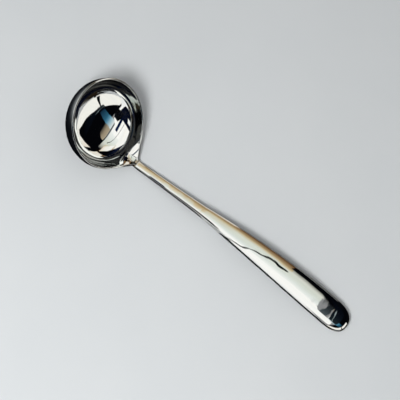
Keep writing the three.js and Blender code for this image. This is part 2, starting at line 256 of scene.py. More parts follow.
smears = add_node(stainless, "ShaderNodeTexNoise", {}, {
    "Vector": steel_place.outputs["Object"], "Scale": 1 / SMEAR, "Detail": 6.0, "Roughness": 0.65})
dulled = add_node(stainless, "ShaderNodeMapRange", {}, {
    "Value": smears.outputs["Fac"], "From Min": 0.45, "From Max": 0.75, "To Min": 0.025, "To Max": 0.09})
tinted = add_node(stainless, "ShaderNodeMix", {"data_type": "RGBA"}, {
    "Factor": lines.outputs["Fac"], "A": linear("#cfd2d3"), "B": linear("#d9d9d6")})
wavy = add_node(stainless, "ShaderNodeBump", {}, {
    "Height": waves.outputs["Fac"], "Strength": 1.0, "Distance": WAVE_HEIGHT})
buffed = add_node(stainless, "ShaderNodeBump", {}, {
    "Height": lines.outputs["Fac"], "Strength": 1.0, "Distance": BUFFING_HEIGHT,
    "Normal": wavy.outputs["Normal"]})
steel = add_node(stainless, "ShaderNodeBsdfPrincipled", {}, {
    "Base Color": tinted.outputs["Result"], "Metallic": 1.0, "Roughness": dulled.outputs["Result"],
    "Normal": buffed.outputs["Normal"]})
add_node(stainless, "ShaderNodeOutputMaterial", {}, {"Surface": steel.outputs["BSDF"]})

bowl.data.materials.append(stainless)
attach(bowl, "root")
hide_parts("bowl")


# Stem
# A bar of stainless steel is forged to a rounded square section that widens towards the handle. Its foot is
# thinned and fitted to the underside of the lip, and its tang runs on into the handle.
STEM_LENGTH = 56.0
STEM_SLOPE = np.radians(42.6)
STEM_TOP = -0.5
STEM_THICKNESS = 3.2
STEM_SQUARENESS = 3.6
STEM_START = 0.9
STEM_SIDES = 72
STEM_GIRTH = 20.0
MOUTH_WIDTH = 8.1
MOUTH_THICKNESS = 4.6
HANDLE_LENGTH = 128.0
TIP_SLOPE = np.radians(28)
SHOULDER = 55.82
TANG_LENGTH = 40.0
TANG_ROOT = np.array([2.71, 0.96])  # half width and half thickness
TANG_TIP = np.array([2.0, 0.7])
NECK_LENGTH = 6.0
NECK_STEP = 0.8
FOOT_DEPTH = 6.2
FOOT_HALF_WIDTH = 2.5
BUTT_FOOT = -1.3  # heights up the stem's face that butts against the lip's end
BUTT_MIDDLE = -0.6
BUTT_EDGE = -0.42
STEP_LEAD = -0.26  # then over the edge and on to the stem's upper side
STEP_ROUND = 0.06
STEP_TOP = -0.2
HEEL_TIP = (31.2, -7.0)
HEEL_DRAW = (33.0, -3.7)
HEEL_PULL = 6.0
HEEL_END = 5.0
HEEL_UNDER_FOOT = 0.66  # share of the heel's curve where the foot's rings end
HEEL_UNDER_STEM = 0.68  # and where the stem's begin
BRAZE = 0.3


def on_spine(along, across, up):
    """Points beside the spine: straight along the stem from 0 at the lip's end, then one arc along the
    handle, each at a distance across it and up from it."""
    straight = np.minimum(along, STEM_LENGTH)
    bent = along - straight
    half_turn = (TIP_SLOPE - STEM_SLOPE) / HANDLE_LENGTH * bent / 2
    chord = bent * np.sinc(half_turn / np.pi)
    slope = STEM_SLOPE + 2 * half_turn
    x = LIP_REACH + np.sin(STEM_SLOPE) * STEM_THICKNESS / 2 + straight * np.cos(STEM_SLOPE)
    z = STEM_TOP - np.cos(STEM_SLOPE) * STEM_THICKNESS / 2 + straight * np.sin(STEM_SLOPE)
    x = x + chord * np.cos(STEM_SLOPE + half_turn) - up * np.sin(slope)
    z = z + chord * np.sin(STEM_SLOPE + half_turn) + up * np.cos(slope)
    return np.stack(np.broadcast_arrays(x, across, z), -1)


def squared(value, squareness):
    """Signed power that turns a circle's sine or cosine into a superellipse's."""
    return np.sign(value) * np.abs(value) ** (2 / squareness)


def bezier(points, t):
    """Cubic Bezier of four points in the middle plane."""
    a, b, c, d = np.array(points, float)
    t = np.asarray(t)[:, None]
    return (1 - t) ** 3 * a + 3 * (1 - t) ** 2 * t * b + 3 * (1 - t) * t**2 * c + t**3 * d


half_outline = plan_outline(0)[:NOSE_POINTS + SIDE_POINTS + ARC_POINTS]
outline_angle = np.arctan2(half_outline[:, 1], half_outline[:, 0])
outline_reach = np.linalg.norm(half_outline, axis=1)
SEARCH_DEPTH = 12.0
HALVINGS = 40


def lip_underside(x, across):
    """Height of the bowl's outside at a plan point near the lip. Halving finds the height under the rim whose
    ring, drawn out towards the lip, passes through the point."""
    drawn = np.interp(np.arctan2(np.abs(across), x), outline_angle, outline_reach) - BOWL_RADIUS
    distance = np.hypot(x, across)
    low = np.full(distance.shape, -SEARCH_DEPTH)
    high = np.zeros(distance.shape)
    for _ in range(HALVINGS):
        height = (low + high) / 2
        out = wall_radius(height, 0) + drawn * flare_at(height)
        low = np.where(out < distance, height, low)
        high = np.where(out < distance, high, height)
    drop = (LIP_RISE - BOWL_WALL) * np.minimum(1, drawn / (LIP_REACH - BOWL_RADIUS))
    return height + drop * flare_at(height)


# The lip's underside in the middle plane, and the foot's upper side a film of braze away from it.
lip_height = np.linspace(-FOOT_DEPTH, 0, 28)
lip_flare = flare_at(lip_height)
under_lip = np.stack([
    wall_radius(lip_height, 0) + (LIP_REACH - BOWL_RADIUS) * lip_flare,
    lip_height + (LIP_RISE - BOWL_WALL) * lip_flare], -1)
lip_way = np.gradient(under_lip, lip_height, axis=0)
lip_normal = np.stack([lip_way[:, 1], -lip_way[:, 0]], -1) / np.linalg.norm(lip_way, axis=1, keepdims=True)
foot_top = under_lip + BRAZE * lip_normal

# Upper and lower side of foot, stem and tang in the middle plane.
butt = LIP_REACH + BRAZE
stem_along = np.concatenate([
    np.linspace(STEM_START, NECK_LENGTH, 14), np.linspace(NECK_LENGTH + NECK_STEP, SHOULDER, 60)])
stem_first = on_spine(STEM_START, 0, STEM_THICKNESS / 2)[[0, 2]]
step_up = bezier(
    [foot_top[-1], (butt, BUTT_FOOT), (butt, BUTT_MIDDLE), (butt, BUTT_EDGE)], np.linspace(0.2, 1, 6))
step_over = bezier(
    [(butt, BUTT_EDGE), (butt, STEP_LEAD), (butt + STEP_ROUND, STEP_TOP), stem_first],
    np.linspace(0.2, 0.9, 6))
foot_count = len(foot_top) + len(step_up) + len(step_over)
upper = np.concatenate([foot_top, step_up, step_over])
heel_end = on_spine(HEEL_END, 0, -STEM_THICKNESS / 2)[[0, 2]]
heel_way = np.array([np.cos(STEM_SLOPE), np.sin(STEM_SLOPE)])
heel = [HEEL_TIP, HEEL_DRAW, heel_end - HEEL_PULL * heel_way, heel_end]
lower = bezier(heel, np.linspace(0, HEEL_UNDER_FOOT, foot_count))
widening = np.clip(stem_along / STEM_LENGTH, 0, 1) ** 2
stem_half_height = (1 - widening) * STEM_THICKNESS / 2 + widening * MOUTH_THICKNESS / 2
stem_upper = on_spine(stem_along, 0, stem_half_height)[:, [0, 2]]
stem_lower = on_spine(stem_along, 0, -stem_half_height)[:, [0, 2]]
at_heel = stem_along < HEEL_END
heel_share = (stem_along[at_heel] - STEM_START) / (HEEL_END - STEM_START)
stem_lower[at_heel] = bezier(heel, HEEL_UNDER_STEM + (1 - HEEL_UNDER_STEM) * heel_share)
tang_taper = np.linspace(0, 1, 8)
tang_along = SHOULDER + TANG_LENGTH * tang_taper
tang_half = (1 - tang_taper)[:, None] * TANG_ROOT + tang_taper[:, None] * TANG_TIP
upper = np.concatenate([upper, stem_upper, on_spine(tang_along, 0, tang_half[:, 1])[:, [0, 2]]])
lower = np.concatenate([lower, stem_lower, on_spine(tang_along, 0, -tang_half[:, 1])[:, [0, 2]]])

# Half widths: the foot is a round-ended tongue that spreads to the neck's width, the stem widens from there
# to the handle's mouth, and the tang tapers.
from_tip = np.concatenate([[0], np.cumsum(np.linalg.norm(np.diff(foot_top, axis=0), axis=1))])
tongue = FOOT_HALF_WIDTH * np.sqrt(1 - (1 - np.minimum(from_tip / FOOT_HALF_WIDTH, 1)) ** 2)
neck_corner = neck_half_width(LIP_REACH, 0)
spread = np.clip((from_tip - FOOT_HALF_WIDTH) / (from_tip[-1] - FOOT_HALF_WIDTH), 0, 1)
foot_half_width = tongue + (neck_corner - FOOT_HALF_WIDTH) * spread**2
foot_half_width = np.concatenate([foot_half_width, np.full(foot_count - len(foot_top), neck_corner)])
stem_half_width = (1 - widening) * NECK_HALF_WIDTH + widening * MOUTH_WIDTH / 2
stem_half_width = stem_half_width + neck_half_width(LIP_REACH + stem_along, 0) - NECK_HALF_WIDTH
half_width = np.concatenate([foot_half_width, stem_half_width, tang_half[:, 0]])

# Rings between the two sides. Under the lip their upper half also follows the lip's curve across.
section_angle = np.linspace(0, 2 * np.pi, STEM_SIDES, endpoint=False)
section_across = squared(np.cos(section_angle), STEM_SQUARENESS)
section_up = squared(np.sin(section_angle), STEM_SQUARENESS)
middle = (upper + lower) / 2
profile = middle[:, None] + section_up[None, :, None] * ((upper - lower) / 2)[:, None]
stem_across = half_width[:, None] * section_across
stem_rows = np.stack([profile[..., 0], stem_across, profile[..., 1]], -1)
seat_x = under_lip[:, :1]
seat_across = stem_across[:len(seat_x)]
rise = lip_underside(seat_x, seat_across) - lip_underside(seat_x, 0 * seat_across)
stem_rows[:len(seat_x), :, 2] += rise * np.clip(section_up, 0, 1)


def capped(rows):
    """Rows with the last ring closed: one more ring lies on the line midway between the ring's two sides."""
    return np.concatenate([rows, (rows[-1:] + rows[-1:, ::-1]) / 2])


stem_rows = capped(stem_rows)
stem = skinned("forged_stem", stem_rows, walked(stem_rows), girth(STEM_GIRTH, stem_rows))
stem.data.materials.append(stainless)
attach(stem, "root")
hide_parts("stem")


# Neck braze
# Silver braze runs into the lap between lip and foot when the neck is heated. It shows as a fine line round
# the foot and where the stem butts against the lip's end.
SLIT = 0.02
BRAZE_GIRTH = 12.0
LIP_END_FOOT = -1.02
lip_end = [(LIP_REACH + SLIT, LIP_END_FOOT), (LIP_REACH + SLIT, STEM_TOP)]
stem_butt = [(butt - SLIT, BUTT_FOOT), (butt - SLIT, BUTT_EDGE)]
braze_upper = np.concatenate([under_lip + SLIT * lip_normal, lip_end])
braze_lower = np.concatenate([foot_top - SLIT * lip_normal, stem_butt])
braze_half_width = np.concatenate([foot_half_width[:len(foot_top)], [neck_corner, neck_corner]])[:, None]
strip = np.linspace(-1, 1, 21)
strip_across = braze_half_width * strip
strip_seat = strip_across[:len(seat_x)]
seat_rise = lip_underside(seat_x, strip_seat) - lip_underside(seat_x, 0 * strip_seat)
strip_rise = np.concatenate([seat_rise, np.zeros((len(lip_end), len(strip)))])
braze_faces = [
    np.stack(np.broadcast_arrays(curve[:, :1], strip_across, curve[:, 1:] + strip_rise), -1)
    for curve in (braze_upper, braze_lower)]
braze_rows = capped(np.concatenate([braze_faces[0], braze_faces[1][:, ::-1]], 1))
neck_braze = skinned("neck_braze_film", braze_rows, walked(braze_rows), girth(BRAZE_GIRTH, braze_rows))

# Silver brazing alloy, ground and buffed with the steel around it. It is softer than steel, so it comes out a
# little yellower and duller, with a mottle where its copper has gathered and pits from the flux.
MOTTLE = 0.0022
PITS = 0.0007
PIT_DEPTH = 0.00005
silver = bpy.data.materials.new("buffed_silver_braze")
silver.use_nodes = True
silver.node_tree.nodes.clear()
silver_place = add_node(silver, "ShaderNodeTexCoord", {}, {})
mottle = add_node(silver, "ShaderNodeTexNoise", {}, {
    "Vector": silver_place.outputs["Object"], "Scale": 1 / MOTTLE, "Detail": 4.0})
pits = add_node(silver, "ShaderNodeTexVoronoi", {}, {
    "Vector": silver_place.outputs["Object"], "Scale": 1 / PITS})
yellowed = add_node(silver, "ShaderNodeMix", {"data_type": "RGBA"}, {
    "Factor": mottle.outputs["Fac"], "A": linear("#c9c5b8"), "B": linear("#d2c3a0")})
softened = add_node(silver, "ShaderNodeMapRange", {}, {
    "Value": mottle.outputs["Fac"], "From Min": 0.3, "From Max": 0.7, "To Min": 0.12, "To Max": 0.24})
pitted = add_node(silver, "ShaderNodeBump", {}, {
    "Height": pits.outputs["Distance"], "Strength": 0.3, "Distance": PIT_DEPTH})
alloy = add_node(silver, "ShaderNodeBsdfPrincipled", {}, {
    "Base Color": yellowed.outputs["Result"], "Metallic": 1.0, "Roughness": softened.outputs["Result"],
    "Normal": pitted.outputs["Normal"]})
add_node(silver, "ShaderNodeOutputMaterial", {}, {"Surface": alloy.outputs["BSDF"]})
neck_braze.data.materials.append(silver)
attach(neck_braze, "root")
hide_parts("neck_braze")


# Tang cement
# Handle cement is poured into the hollow handle round the tang and sets hard. Nothing of it shows.
# Sand and resin, set matt: a grey-brown body with darker and paler grains standing out of it.
GRAIN = 0.0006
GRAIN_HEIGHT = 0.0002
cement = bpy.data.materials.new("set_handle_cement")
cement.use_nodes = True
cement.node_tree.nodes.clear()
cement_place = add_node(cement, "ShaderNodeTexCoord", {}, {})
grains = add_node(cement, "ShaderNodeTexVoronoi", {}, {
    "Vector": cement_place.outputs["Object"], "Scale": 1 / GRAIN})
grain_shade = add_node(cement, "ShaderNodeRGBToBW", {}, {"Color": grains.outputs["Color"]})
sandy = add_node(cement, "ShaderNodeMix", {"data_type": "RGBA"}, {
    "Factor": grain_shade.outputs["Val"], "A": linear("#7b766d"), "B": linear("#a39d92")})
gritty = add_node(cement, "ShaderNodeBump", {}, {
    "Height": grains.outputs["Distance"], "Strength": 0.6, "Distance": GRAIN_HEIGHT})
set_body = add_node(cement, "ShaderNodeBsdfPrincipled", {}, {
    "Base Color": sandy.outputs["Result"], "Roughness": 0.9, "Normal": gritty.outputs["Normal"]})
add_node(cement, "ShaderNodeOutputMaterial", {}, {"Surface": set_body.outputs["BSDF"]})
cement_node = frame["nodes"]["tang_cement"]
cement_node.data.materials.clear()
cement_node.data.materials.append(cement)


# Handle shells
# Two halves are pressed from thin stainless sheet, trimmed along the middle, and brazed into a hollow handle
# that swells from the mouth and closes in a blunt round end. The seam is ground flush, then buffed.
HANDLE_WIDTH = 20.98
HANDLE_THICKNESS = 9.57
HANDLE_SQUARENESS = 2.3
CAD_END_LENGTH = 16.1
END_LENGTH = CAD_END_LENGTH - 0.02  # a hair inside the CAD handle
END_SQUARENESS = 2.5
BELLY = STEM_LENGTH + HANDLE_LENGTH - CAD_END_LENGTH
SHELL_WALL = 0.8
SHELL_GIRTH = 56.0
SEAM = 0.36
MOUTH_GAP = 0.18
BODY_PLACES, END_PLACES, SHELL_POINTS = 130, 48, 65


def handle_half(along, inset):
    """Half width, half thickness and squareness of the handle's section: a sine's first quarter swells from
    the mouth to the belly, and a superellipse closes the end."""
    swell = np.sin(np.clip((along - STEM_LENGTH) / (BELLY - STEM_LENGTH), 0, 1) * np.pi / 2)
    past = np.clip((along - BELLY) / (END_LENGTH - inset), 0, 1)
    closing = (1 - past**END_SQUARENESS) ** (1 / END_SQUARENESS)
    wide = ((1 - swell) * MOUTH_WIDTH + swell * HANDLE_WIDTH) / 2 - inset
    thick = ((1 - swell) * MOUTH_THICKNESS + swell * HANDLE_THICKNESS) / 2 - inset
    return wide * closing, thick * closing, (1 - swell) * STEM_SQUARENESS + swell * HANDLE_SQUARENESS


def handle_places(inset, least):
    """Places along the handle, even from the mouth to the belly, then closer and closer round the end until
    the half thickness has shrunk to least."""
    body = np.linspace(STEM_LENGTH + MOUTH_GAP, BELLY, BODY_PLACES)
    turn = np.arccos((least / (HANDLE_THICKNESS / 2 - inset)) ** (END_SQUARENESS / 2))
    bend = np.linspace(0, turn, END_PLACES + 1)[1:]
    end = BELLY + np.sin(bend) ** (2 / END_SQUARENESS) * (END_LENGTH - inset)
    return np.concatenate([body, end])


def shell_arcs(side, inset):
    """Arcs of the handle's sections on one side of the seam, from one edge of the shell over to the other."""
    edge = SEAM / 2 + SLIT
    along = handle_places(inset, edge)
    wide, thick, squareness = (np.asarray(size)[:, None] for size in handle_half(along, inset))
    start = np.arcsin(np.minimum(1, edge / thick) ** (squareness / 2))
    angle = start + (np.pi - 2 * start) * np.linspace(0, 1, SHELL_POINTS)
    across = wide * squared(np.cos(angle), squareness)
    return on_spine(along[:, None], across, side * thick * squared(np.sin(angle), squareness))


for shell_name, node_name, side in (
        ("pressed_top_shell", "handle_top_shell", 1), ("pressed_bottom_shell", "handle_bottom_shell", -1)):
    shell_rows = np.concatenate([shell_arcs(side, 0), shell_arcs(side, SHELL_WALL)[:, ::-1]], 1)
    shell_rows = capped(capped(shell_rows)[::-1])
    shell = skinned(shell_name, shell_rows, walked(shell_rows), girth(SHELL_GIRTH, shell_rows))
    shell.data.materials.append(stainless)
    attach(shell, "root")
    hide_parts(node_name)


# Seam braze
# A thread of silver braze fills the seam between the shells, from the mouth round the end and back. Ground
# flush, it shows only as a hairline along the handle's two sides.
SEAM_GIRTH = 2.3
seam_out = handle_places(0, 0)
seam_in = handle_places(SHELL_WALL, 0)
seam_corners = [
    on_spine(along, handle_half(along, inset)[0], np.full(along.shape, up * SEAM / 2))
    for along, inset, up in (
        (seam_out, 0, 1), (seam_out, 0, -1), (seam_in, SHELL_WALL, -1), (seam_in, SHELL_WALL, 1))]
seam_side = np.stack(seam_corners, 1)
seam_rows = np.concatenate([seam_side, (seam_side * [1, -1, 1])[-2::-1]])
seam_rows = capped(capped(seam_rows)[::-1])
seam = skinned("seam_braze_line", seam_rows, walked(seam_rows), girth(SEAM_GIRTH, seam_rows))
seam.data.materials.append(silver)
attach(seam, "root")
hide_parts("seam_braze")


# Mouth solder
# A ring of solder closes the handle's mouth round the tang, between the stem's shoulder and the shells' ends.
# It is wiped smooth while hot and buffed, so that stem and handle run on without a step.
SOLDER = 0.32
TANG_PLAY = 0.06
ring_half = np.array([handle_half(np.array(STEM_LENGTH), 0)[:2], TANG_ROOT + TANG_PLAY], float)
ring_along = STEM_LENGTH + SOLDER / 2 * np.array([-1, 1, 1, -1, -1])
ring_size = ring_half[[0, 0, 1, 1, 0]]
solder_rows = on_spine(
    ring_along[:, None], ring_size[:, :1] * section_across, ring_size[:, 1:] * section_up)
solder = skinned("mouth_solder_ring", solder_rows, girth(STEM_GIRTH, solder_rows), walked(solder_rows))
solder.data.materials.append(silver)
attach(solder, "root")
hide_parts("mouth_solder")


# Floor
# A plain pale board under the ladle, wide enough to fill every view. It is painted matt, so that it shows the
# ladle's soft shadow and no reflection.
FLOOR_HALF = 3.0
floor_mesh = bpy.data.meshes.new("pale_floor")
floor_corners = FLOOR_HALF * np.array([(-1, -1, 0), (1, -1, 0), (1, 1, 0), (-1, 1, 0)])
floor_mesh.from_pydata(floor_corners, [], [(0, 1, 2, 3)])
floor = bpy.data.objects.new("pale_floor", floor_mesh)
bpy.context.scene.collection.objects.link(floor)

# Matt emulsion on board: an even pale grey with a faint cloudiness and the roller's fine stipple.
CLOUD = 0.07
STIPPLE = 0.0022
STIPPLE_HEIGHT = 0.0002
painted = bpy.data.materials.new("matt_painted_board")
painted.use_nodes = True
painted.node_tree.nodes.clear()
board_place = add_node(painted, "ShaderNodeTexCoord", {}, {})
clouds = add_node(painted, "ShaderNodeTexNoise", {}, {
    "Vector": board_place.outputs["Object"], "Scale": 1 / CLOUD, "Detail": 4.0})
stipple = add_node(painted, "ShaderNodeTexNoise", {}, {
    "Vector": board_place.outputs["Object"], "Scale": 1 / STIPPLE, "Detail": 2.0})
clouded = add_node(painted, "ShaderNodeMix", {"data_type": "RGBA"}, {
    "Factor": clouds.outputs["Fac"], "A": linear("#d2d6d8"), "B": linear("#d9dcdd")})
rolled = add_node(painted, "ShaderNodeBump", {}, {
    "Height": stipple.outputs["Fac"], "Strength": 0.15, "Distance": STIPPLE_HEIGHT})
paint = add_node(painted, "ShaderNodeBsdfPrincipled", {}, {
    "Base Color": clouded.outputs["Result"], "Roughness": 0.9, "Normal": rolled.outputs["Normal"]})
add_node(painted, "ShaderNodeOutputMaterial", {}, {"Surface": paint.outputs["BSDF"]})
floor.data.materials.append(painted)


# Light
# A pale room lights the table evenly, and a soft lamp on the near side lays the shadow away from it. Panels
# that only reflections show give the mirror polish a room: each stands where the camera's rays go from it.
ROOM_STRENGTH = 0.46
LAMP_SIZE = 0.3
LAMP_WATTS = 8.9
LAMP_PLACE = Vector((-0.1, -0.66, 0.88))
world = bpy.data.worlds.new("pale_room")
world.use_nodes = True
world.node_tree.nodes["Background"].inputs["Color"].default_value = linear("#e6e7e8")
world.node_tree.nodes["Background"].inputs["Strength"].default_value = ROOM_STRENGTH
bpy.context.scene.world = world
bpy.context.scene.view_settings.view_transform = "Standard"

lamp_data = bpy.data.lights.new("near_lamp", "AREA")
lamp_data.shape = "DISK"
lamp_data.size = LAMP_SIZE
lamp_data.energy = LAMP_WATTS
lamp = bpy.data.objects.new("near_lamp", lamp_data)
lamp_turn = LAMP_PLACE.to_track_quat("Z", "Y").to_matrix().to_4x4()
lamp.matrix_world = Matrix.Translation(LAMP_PLACE) @ lamp_turn
lamp.visible_glossy = False
bpy.context.scene.collection.objects.link(lamp)


def panel(name, strength, again, rows):
    """Strip through rows of two corners, shading from each row's colour to the next row's. Only reflections
    show it: it lights and shades nothing. A reflection of a reflection sees the share again of its light."""
    corners = [corner for start, end, colour in rows for corner in (start, end)]
    shades = [linear(colour) for start, end, colour in rows for _ in (start, end)]
    mesh = bpy.data.meshes.new(name)
    mesh.from_pydata(corners, [], [(k, k + 1, k + 3, k + 2) for k in range(0, len(corners) - 2, 2)])
    mesh.color_attributes.new("shade", "FLOAT_COLOR", "POINT").data.foreach_set("color", np.ravel(shades))
    board = bpy.data.objects.new(name, mesh)
    bpy.context.scene.collection.objects.link(board)
    glow = bpy.data.materials.new(name)
    glow.use_nodes = True
    glow.node_tree.nodes.clear()
    shade = add_node(glow, "ShaderNodeVertexColor", {"layer_name": "shade"}, {})
    bounces = add_node(glow, "ShaderNodeLightPath", {}, {})
    share = add_node(glow, "ShaderNodeMapRange", {}, {
        "Value": bounces.outputs["Glossy Depth"], "From Min": 1.0, "From Max": 2.0,
        "To Min": strength, "To Max": strength * again})
    light = add_node(glow, "ShaderNodeEmission", {}, {
        "Color": shade.outputs["Color"], "Strength": share.outputs["Result"]})
    add_node(glow, "ShaderNodeOutputMaterial", {}, {"Surface": light.outputs["Emission"]})
    board.data.materials.append(glow)
    board.visible_camera = False
    board.visible_diffuse = False
    board.visible_shadow = False


def level(height, rows):
    """Rows of corners given by x and y, all at one height."""
    return [((*start, height), (*end, height), colour) for start, end, colour in rows]


CEILING = 1.1
TIP_FLAG = 0.135
BOWL_FLAG = 0.1
BOWL_CARD = 0.055
TABLE = 0.0005  # clear of the floor

# Ceiling over the ladle: soft boxes, with tan boards and dark strips just under them.
panel("card_soft_box_left", 1.45, 1.6, level(CEILING, [
    ((-1.6, -2.2), (-1.6, -0.1), "#fbfaf6"),
    ((-1.0, -2.2), (-1.0, 0.2), "#fbfaf6"),
    ((-0.35, -2.2), (-0.35, 0.75), "#f6f4ee")]))
panel("card_soft_box_far", 1.45, 1.2, level(CEILING, [
    ((-0.35, 0.1), (0.43, 0.1), "#f0f2ee"),
    ((-0.35, 0.35), (0.44, 0.35), "#dfe4de"),
    ((-0.35, 0.52), (0.46, 0.55), "#d4d8cc"),
    ((-0.35, 0.8), (0.46, 0.8), "#d6d8cf")]))
panel("card_soft_box_near", 1.45, 0.05, level(CEILING, [
    ((-0.35, -2.2), (1.1, -2.2), "#fbfaf6"),
    ((-0.35, -0.35), (0.7, -0.35), "#fbfaf6"),
    ((-0.35, -0.2), (0.44, -0.2), "#fbfaf6"),
    ((-0.35, 0.1), (0.42, 0.1), "#fbfaf6")]))
panel("card_tan_strip", 1.4, 0.1, level(CEILING - 0.002, [
    ((-0.45, 0.34), (-0.3, 0.38), "#e6e6dc"),
    ((-0.45, 0.46), (-0.3, 0.48), "#d9ccae"),
    ((-0.45, 0.53), (-0.3, 0.58), "#bca47b"),
    ((-0.45, 0.8), (-0.3, 0.85), "#98805a"),
    ((-0.45, 1.16), (-0.3, 1.16), "#8a704f")]))
panel("card_tan_board", 1.4, 0.1, level(CEILING - 0.001, [
    ((-0.3, 0.44), (0.22, 0.64), "#d8dacd"),
    ((-0.3, 0.6), (0.24, 0.8), "#c8b894"),
    ((-0.3, 0.88), (0.26, 1.0), "#a48d68"),
    ((-0.3, 1.16), (0.22, 1.16), "#98805c")]))
panel("card_tan_board_end", 1.4, 0.1, level(CEILING - 0.001, [
    ((0.22, 0.64), (0.48, 0.64), "#dadcd3"),
    ((0.24, 0.8), (0.49, 0.82), "#c2c3b8"),
    ((0.26, 1.0), (0.5, 1.0), "#9d9c92"),
    ((0.22, 1.16), (0.5, 1.16), "#3c3a34")]))
panel("card_dark_strip", 1.0, 0.1, level(CEILING - 0.005, [
    ((-0.23, -1.1), (-0.19, -1.1), "#3a3c3c"),
    ((-0.13, -0.5), (-0.1, -0.5), "#26282a"),
    ((-0.08, -0.18), (-0.054, -0.18), "#141618"),
    ((-0.04, 0.23), (-0.02, 0.22), "#101214"),
    ((0.035, 0.42), (0.06, 0.4), "#101214"),
    ((0.105, 0.5), (0.13, 0.47), "#101214"),
    ((0.17, 0.58), (0.19, 0.54), "#101214")]))
panel("card_dark_edge", 1.0, 0.1, level(CEILING - 0.01, [
    ((0.45, -0.2), (0.5, -0.22), "#5a6468"),
    ((0.45, 0.1), (0.5, 0.1), "#4a5458"),
    ((0.47, 0.45), (0.52, 0.45), "#30363a"),
    ((0.5, 0.8), (0.6, 0.8), "#05060a"),
    ((0.5, 1.16), (0.7, 1.16), "#05060a")]))

# Close to the handle's end: a dark flag over it with a pale line, and a dark edge beside it.
panel("card_tip_flag", 1.0, 1.0, level(TIP_FLAG, [
    ((0.158, -0.028), (0.215, -0.03), "#2a3438"),
    ((0.156, 0.04), (0.225, 0.04), "#141c24"),
    ((0.16, 0.07), (0.23, 0.08), "#0a0f18"),
    ((0.165, 0.3), (0.3, 0.3), "#05060a")]))
panel("card_pale_line", 1.2, 0.1, level(TIP_FLAG - 0.001, [
    ((0.172, -0.024), (0.175, -0.024), "#b9c6c9"),
    ((0.169, 0.0), (0.171, 0.0), "#8f9b9d"),
    ((0.171, 0.03), (0.1735, 0.03), "#8f9b9d"),
    ((0.168, 0.06), (0.174, 0.06), "#9fabad"),
    ((0.17, 0.085), (0.172, 0.085), "#4f5b5d")]))
panel("card_tip_edge", 1.0, 1.0, [
    ((0.11, 0.0235, TABLE), (0.11, 0.0235, 0.02), "#0a0c10"),
    ((0.1245, 0.0185, TABLE), (0.1245, 0.0185, 0.02), "#05060a"),
    ((0.1325, 0.0095, TABLE), (0.1325, 0.0095, 0.018), "#05060a"),
    ((0.1345, 0.0075, TABLE), (0.1345, 0.0075, 0.008), "#0a0c10")])

# Ceiling past the handle's end: a beige board, a teal one bent down, and a dark corner.
panel("card_beige_board", 1.2, 0.1, level(CEILING, [
    ((0.53, 0.12), (0.56, 0.7), "#b9ab92"),
    ((0.8, 0.12), (0.8, 0.7), "#a3957d"),
    ((1.05, 0.22), (1.05, 0.6), "#3c3a36")]))
panel("card_teal_board", 1.2, 0.1, [
    ((0.53, -0.3, CEILING), (0.53, 0.12, CEILING), "#eef3f2"),
    ((0.75, -0.3, CEILING), (0.75, 0.16, CEILING), "#b9d3dc"),
    ((1.0, -0.25, CEILING), (1.0, 0.22, CEILING), "#5a92ad"),
    ((1.2, -0.2, CEILING), (1.2, 0.24, CEILING), "#2f6580"),
    ((1.19, -0.1, 0.68), (1.19, 0.2, 0.68), "#12293d")])
panel("card_corner_dark", 1.0, 1.0, level(CEILING + 0.001, [
    ((0.55, 0.7), (0.55, 1.16), "#05060a"),
    ((2.4, 0.5), (2.4, 2.0), "#05060a")]))

# Wall past the handle's end: a dark post, a low white board and its floor, and black behind.
panel("card_end_post", 1.0, 1.0, [
    ((1.18, -0.2, 0.03), (1.18, -0.02, 0.03), "#16181a"),
    ((1.18, 0.03, 0.62), (1.18, 0.07, 0.62), "#05060a")])
panel("card_end_low", 1.35, 0.1, [
    ((1.2, -3.2, 0.0), (1.2, -3.2, 0.55), "#f3f0e8"),
    ((1.2, -1.8, 0.0), (1.2, -1.8, 1.0), "#fbf9f2"),
    ((1.2, 0.6, 0.0), (1.2, 0.6, 0.42), "#fbf9f2"),
    ((1.2, 0.9, 0.0), (1.2, 0.9, 0.31), "#fbf9f2"),
    ((1.2, 1.15, 0.0), (1.2, 1.15, 0.18), "#f3f0e8")])
panel("card_end_floor", 1.3, 0.1, level(TABLE, [
    ((0.45, -0.25), (0.45, 0.35), "#e9e7df"),
    ((1.2, -0.8), (1.2, 1.0), "#f3f0e8")]))
panel("card_end_high", 1.0, 1.0, [
    ((1.22, -3.2, 0.0), (1.22, 1.4, 0.0), "#05060a"),
    ((1.22, -3.2, 1.5), (1.22, 1.4, 1.5), "#05060a")])

# Close behind neck and bowl: a pale board, and a pale and a dark card for the bowl's inside.
panel("card_far_low", 1.3, 0.5, [
    ((-0.12, 0.26, 0.0), (0.0, 0.26, 0.0), "#b9aa90"),
    ((-0.11, 0.26, 0.09), (0.0, 0.26, 0.09), "#f1ebde"),
    ((-0.11, 0.26, 0.2), (-0.02, 0.26, 0.17), "#eee6d8")])
panel("card_bowl_pale", 1.45, 0.6, level(BOWL_CARD, [
    ((-0.0725, 0.036), (-0.0725, 0.059), "#e6d9c8"),
    ((-0.079, 0.03), (-0.08, 0.0495), "#efece2"),
    ((-0.088, 0.024), (-0.089, 0.042), "#f4f3ee"),
    ((-0.096, 0.021), (-0.096, 0.033), "#f4f3ee")]))
panel("card_bowl_dark", 1.0, 1.0, level(BOWL_CARD, [
    ((-0.062, 0.054), (-0.06, 0.064), "#0a0a0a"),
    ((-0.0725, 0.0595), (-0.072, 0.07), "#080808"),
    ((-0.08, 0.05), (-0.082, 0.071), "#050505"),
    ((-0.089, 0.0425), (-0.092, 0.072), "#040508"),
    ((-0.096, 0.0335), (-0.105, 0.072), "#04060c"),
    ((-0.11, 0.03), (-0.125, 0.07), "#0a1428")]))

